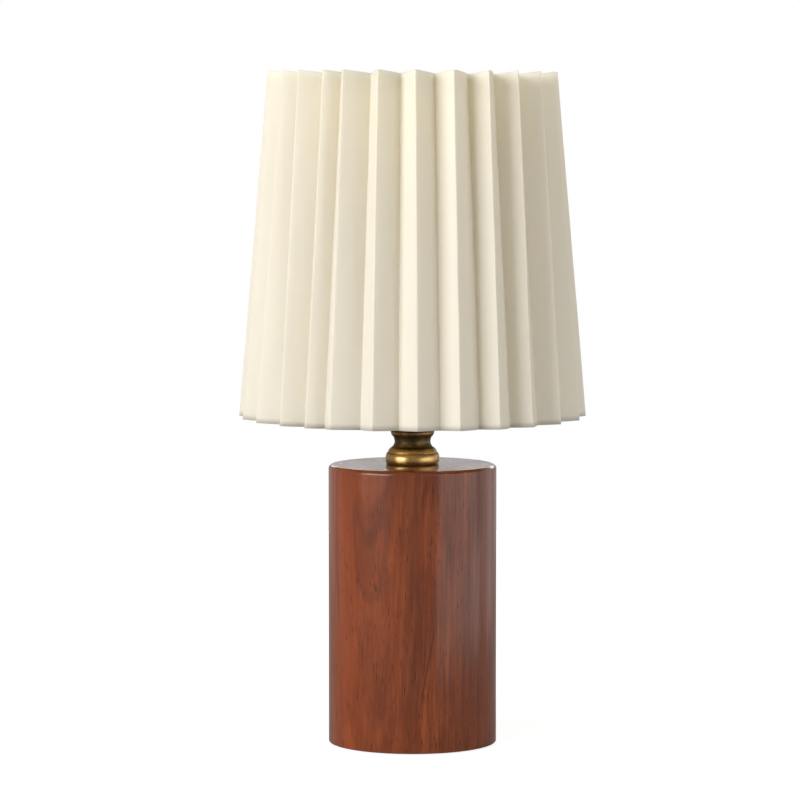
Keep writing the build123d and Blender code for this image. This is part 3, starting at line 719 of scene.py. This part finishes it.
belly_place = three_numbers(graph, panel * 7.3, rise * 1.4, given["Seed"] + 3.0)
belly_change = noise(graph, belly_place, 1.0, 1.5)
belly_shape = (fold * pi).sine()
bow = given["Bow"] * belly_shape * (belly * 0.8 + belly_change * 1.2 - 0.35)
crinkle_place = three_numbers(graph, panel * 3.1 + fold * 2.6, rise * 52.0, given["Seed"] + 9.0)
crinkle_wave = noise(graph, crinkle_place, 1.0, 2.0) - 0.5
crinkle_at_top = rise.step(0.93, 0.985) * fold.step(0.35, 0.9)
crinkle_at_bottom = (1 - rise).step(0.955, 0.99) * fold.step(0.5, 0.95) * 0.5
crinkle_mask = crinkle_at_top + crinkle_at_bottom
crinkle = given["Crinkle"] * crinkle_wave * crinkle_mask
radius = outer_radius - depth * folded + bow + crinkle + wander * given["Wander"]
swing = wander * given["Wander"] * 9.0 + crinkle * 6.0
angle = turn + swing * (1 - fold * 0.4) + twist * (rise - 0.5)
level = given["Bottom level"] + (given["Top level"] - given["Bottom level"]) * rise
level = level - folded * share * (given["Top dip"] * rise + given["Bottom dip"] * (1 - rise))
level = level + (0 - angle.sine()).larger(0.0) * given["Front stretch"] * (rise * 2 - 1)
level = level - angle.cosine() * given["Lean"] * rise
place = three_numbers(graph, radius * angle.cosine(), radius * angle.sine(), level)
laid = graph.node("GeometryNodeSetPosition", None, {"Geometry": given["Flat cloth"], "Position": place})
finish_tree(graph, laid, given["Finish"])

cloth, graph = new_finish("linen cotton shade cloth")
yarn_pitch = 0.00062
u, v = axes(graph, graph.node("ShaderNodeTexCoord", out="UV"))[:2]


def yarn(along, pitch):
    """A wave between 0 and 1."""
    return (along * (2 * pi / pitch)).sine() * 0.5 + 0.5


warp = yarn(u, yarn_pitch) * yarn(v, yarn_pitch * 2)
weft = yarn(v, yarn_pitch) * yarn(u, yarn_pitch * 2)
slub_up = noise(graph, three_numbers(graph, u * 1500, v * 60))
slub_across = noise(graph, three_numbers(graph, u * 60, v * 1500, 7.0))
slub = slub_up * 0.5 + slub_across * 0.5
cloud = noise(graph, three_numbers(graph, u * 30, v * 14, 2.0))
cloth_tint = graph.mix(slub * 0.7 + cloud * 0.3, (0.912, 0.900, 0.872, 1), (0.965, 0.958, 0.944, 1))
weave = warp * 0.5 + weft * 0.5
cloth_normal = graph.bump(weave * 0.5 + slub * 0.9, 0.16, 0.00016)
woven = {
    "Base Color": cloth_tint,
    "Roughness": 0.86 - weave * 0.1,
    "Specular IOR Level": 0.25,
    "Sheen Weight": 0.12,
    "Normal": cloth_normal,
}
glowing = graph.node("ShaderNodeBsdfTranslucent", None, {"Color": (0.96, 0.865, 0.52, 1)})
cloth_translucency = 0.42
show(graph, blend(graph, cloth_translucency, principled(graph, woven), glowing))

columns = []
run = 0.0
draw = random.Random(11)
pleat_count = len(pleat_turns)
for number, (start, turn) in enumerate(zip(pleat_starts, pleat_turns)):
    share = narrow_pleat_depth if number == narrow_pleat else 1.0
    for side in (0, 1):
        belly = draw.uniform(0.0, 1.0)
        for stop in fold_stops[:-1]:
            fold = stop if side == 0 else 1 - stop
            inner = inner_shares[number]
            through = stop * inner if side == 0 else inner + stop * (1 - inner)
            here, after = fold_twists[number], fold_twists[(number + 1) % pleat_count]
            twist = radians(here * (1 - through) + after * through)
            at, place = start + turn * through, run + stop * panel_width
            columns.append((at, fold, share, belly, 2.0 * number + side, twist, place))
        run += panel_width
count = len(columns)
flat_points, cloth_faces, cloth_uv = [], [], []
cloth_numbers = {"turn": [], "fold": [], "share": [], "belly": [], "panel": [], "twist": [], "rise": []}
for row in range(cloth_rows):
    rise = row / (cloth_rows - 1)
    for at, fold, share, belly, panel, twist, place in columns:
        flat_points.append((place, 0.0, rise * cloth_height))
        for label, value in zip(cloth_numbers, (at, fold, share, belly, panel, twist, rise)):
            cloth_numbers[label].append(value)
for row in range(cloth_rows - 1):
    low = row / (cloth_rows - 1) * cloth_height
    high = (row + 1) / (cloth_rows - 1) * cloth_height
    for column in range(count):
        after = (column + 1) % count
        left, right = columns[column][-1], columns[after][-1] if after else run
        below, above = row * count, (row + 1) * count
        cloth_faces.append((below + column, below + after, above + after, above + column))
        cloth_uv += [(left, low), (right, low), (right, high), (left, high)]
cloth_values = {
    "Bottom radius": bottom_fold_radius,
    "Top radius": top_fold_radius,
    "Bottom level": shade_bottom_level,
    "Top level": shade_top_level,
    "Bottom depth": 0.0115,
    "Top depth": 0.0140,
    "Top dip": pleat_top_dip,
    "Bottom dip": pleat_bottom_dip,
    "Front stretch": 0.0007,
    "Lean": 0.0004,
    "Fold softness": 0.022,
    "Bow": 0.0010,
    "Wander": 0.0011,
    "Crinkle": 0.0022,
    "Seed": 5.0,
    "Finish": cloth,
}
shade = grown(
    "pleated_cloth_shade", flat_points, cloth_faces, cloth_numbers, cloth_tree, cloth_values, cloth_uv
)
shade.data.shade_smooth()
wall = shade.modifiers.new("cloth wall", "SOLIDIFY")
wall.thickness = cloth_thickness
wall.offset = -1.0
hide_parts("pleated_shade")
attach(shade, "shade")

# Led bulb: a nickel-plated screw cap with a glass insulator and a contact, a white plastic
# body round the driver and the led board, and an opal globe pushed onto it.

nickel, graph = new_finish("nickel plate")
haze = noise(graph, object_place(graph, (260, 260, 260)), 1.0, 3.0)
nickel_plate = {
    "Base Color": graph.mix(haze, (0.72, 0.70, 0.66, 1), (0.60, 0.58, 0.55, 1)),
    "Metallic": 1.0,
    "Roughness": 0.18 + haze * 0.18,
}
show(graph, principled(graph, nickel_plate))
dress(smoothed("bulb_cap", "rolled_bulb_cap"), nickel, "bulb")
repaint("bulb_contact", nickel)

black_glass, graph = new_finish("black glass")
ripple = noise(graph, object_place(graph, (400, 400, 400)), 1.0, 2.0)
glassy = {
    "Base Color": graph.mix(ripple, (0.006, 0.006, 0.009, 1), (0.022, 0.018, 0.026, 1)),
    "Roughness": 0.08 + ripple * 0.12,
}
show(graph, principled(graph, glassy))
repaint("bulb_cap_insulator", black_glass)

white_plastic, graph = new_finish("white moulded plastic")
orange_peel = noise(graph, object_place(graph, (520, 520, 520)), 1.0, 2.0)
aged = noise(graph, object_place(graph, (40, 40, 40)), 1.0, 2.0)
plastic = {
    "Base Color": graph.mix(aged, (0.80, 0.80, 0.79, 1), (0.74, 0.735, 0.71, 1)),
    "Roughness": 0.34 + orange_peel * 0.12,
    "Normal": graph.bump(orange_peel, 0.1, 0.0001),
}
show(graph, principled(graph, plastic))
dress(smoothed("bulb_body", "white_bulb_body"), white_plastic, "bulb")

opal, graph = new_finish("opal globe plastic")
milk = noise(graph, object_place(graph, (90, 90, 90)), 1.0, 3.0)
milky = {
    "Base Color": graph.mix(milk, (0.93, 0.925, 0.91, 1), (0.88, 0.87, 0.85, 1)),
    "Roughness": 0.30 + milk * 0.10,
    "Coat Weight": 0.15,
}
lit_from_behind = graph.node("ShaderNodeBsdfTranslucent", None, {"Color": (0.9, 0.88, 0.84, 1)})
globe_translucency = 0.18
show(graph, blend(graph, globe_translucency, principled(graph, milky), lit_from_behind))
dress(smoothed("bulb_diffuser", "opal_bulb_globe"), opal, "bulb")

board_white, graph = new_finish("white led board")
mask_grain = noise(graph, object_place(graph, (600, 600, 600)), 1.0, 2.0)
masked = {
    "Base Color": graph.mix(mask_grain, (0.78, 0.79, 0.78, 1), (0.66, 0.67, 0.66, 1)),
    "Roughness": 0.4 + mask_grain * 0.1,
}
show(graph, principled(graph, masked))
repaint("bulb_led_board", board_white)

phosphor, graph = new_finish("led phosphor")
gel = noise(graph, object_place(graph, (900, 900, 900)), 1.0, 2.0)
yellow = {
    "Base Color": graph.mix(gel, (0.85, 0.62, 0.10, 1), (0.78, 0.50, 0.06, 1)),
    "Roughness": 0.3 + gel * 0.1,
}
show(graph, principled(graph, yellow))
repaint("bulb_leds", phosphor)

board_green, graph = new_finish("green driver board")
glass_cloth = noise(graph, object_place(graph, (1100, 1100, 1100)), 1.0, 2.0)
laminate = {
    "Base Color": graph.mix(glass_cloth, (0.015, 0.11, 0.045, 1), (0.03, 0.17, 0.07, 1)),
    "Roughness": 0.35 + glass_cloth * 0.1,
}
show(graph, principled(graph, laminate))
repaint("bulb_driver_board", board_green)
